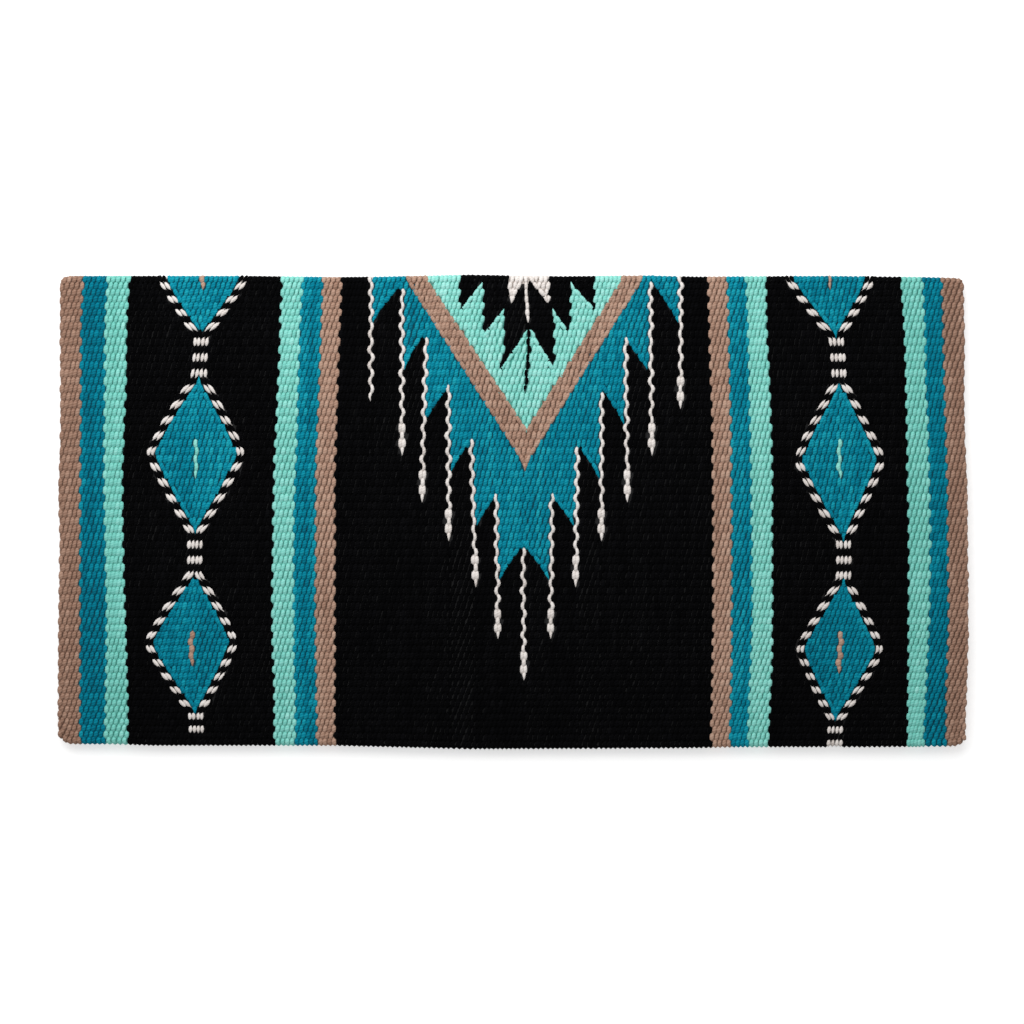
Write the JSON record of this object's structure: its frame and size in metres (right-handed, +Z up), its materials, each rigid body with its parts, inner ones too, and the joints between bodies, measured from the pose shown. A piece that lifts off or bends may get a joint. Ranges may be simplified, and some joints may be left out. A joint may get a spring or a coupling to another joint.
{
  "type": "saddle blanket",
  "caption": "Woven wool saddle blanket folded once into two flat layers, with striped sides, diamond bands and a toothed chevron.",
  "frame": {"origin": "middle of the blanket's rectangle, on the surface it lies on", "axes": "+X along the warps (the width), +Y from the hems towards the fold, +Z up through the two layers"},
  "size_m": [0.864, 0.4494, 0.0143],
  "materials": {
    "tan_wool": "matte hand-woven wool yarn, tan",
    "teal_wool": "matte hand-woven wool yarn, teal",
    "mint_wool": "matte hand-woven wool yarn, mint",
    "black_wool": "matte hand-woven wool yarn, black",
    "white_wool": "matte hand-woven wool yarn, off-white",
    "warp_cotton": "undyed twisted cord, hidden inside the weft"
  },
  "bodies": {
    "lower_half": {"lower_left_edge_tan_stripe": "tan_wool", "lower_left_edge_teal_stripe": "teal_wool", "lower_left_edge_mint_stripe": "mint_wool", "lower_left_band_ground": "black_wool", "lower_left_fold_diamond": "teal_wool", "lower_left_middle_diamond": "teal_wool", "lower_left_hem_diamond": "teal_wool", "lower_left_inner_mint_stripe": "mint_wool", "lower_left_inner_teal_stripe": "teal_wool", "lower_left_inner_tan_stripe": "tan_wool", "lower_centre_ground": "black_wool", "lower_teal_chevron": "teal_wool", "lower_tan_chevron": "tan_wool", "lower_mint_chevron": "mint_wool", "lower_black_flame": "black_wool", "lower_white_heart": "white_wool", "lower_right_inner_tan_stripe": "tan_wool", "lower_right_inner_teal_stripe": "teal_wool", "lower_right_inner_mint_stripe": "mint_wool", "lower_right_band_ground": "black_wool", "lower_right_fold_diamond": "teal_wool", "lower_right_middle_diamond": "teal_wool", "lower_right_hem_diamond": "teal_wool", "lower_right_edge_mint_stripe": "mint_wool", "lower_right_edge_teal_stripe": "teal_wool", "lower_right_edge_tan_stripe": "tan_wool", "lower_warp_cord": "warp_cotton", "fold_bend": "black_wool"},
    "upper_half": {"upper_left_edge_tan_stripe": "tan_wool", "upper_left_edge_teal_stripe": "teal_wool", "upper_left_edge_mint_stripe": "mint_wool", "upper_left_band_ground": "black_wool", "upper_left_fold_diamond": "teal_wool", "upper_left_middle_diamond": "teal_wool", "upper_left_hem_diamond": "teal_wool", "upper_left_inner_mint_stripe": "mint_wool", "upper_left_inner_teal_stripe": "teal_wool", "upper_left_inner_tan_stripe": "tan_wool", "upper_centre_ground": "black_wool", "upper_teal_chevron": "teal_wool", "upper_tan_chevron": "tan_wool", "upper_mint_chevron": "mint_wool", "upper_black_flame": "black_wool", "upper_white_heart": "white_wool", "upper_right_inner_tan_stripe": "tan_wool", "upper_right_inner_teal_stripe": "teal_wool", "upper_right_inner_mint_stripe": "mint_wool", "upper_right_band_ground": "black_wool", "upper_right_fold_diamond": "teal_wool", "upper_right_middle_diamond": "teal_wool", "upper_right_hem_diamond": "teal_wool", "upper_right_edge_mint_stripe": "mint_wool", "upper_right_edge_teal_stripe": "teal_wool", "upper_right_edge_tan_stripe": "tan_wool", "upper_warp_cord": "warp_cotton"}
  },
  "joints": [
    {"name": "fold", "type": "hinge", "parent": "lower_half", "child": "upper_half", "pos_m": [0, 0.21775, 0.00715], "axis": [-1, 0, 0], "range_deg": [0, 180], "deforming": ["fold_bend"]}
  ]
}
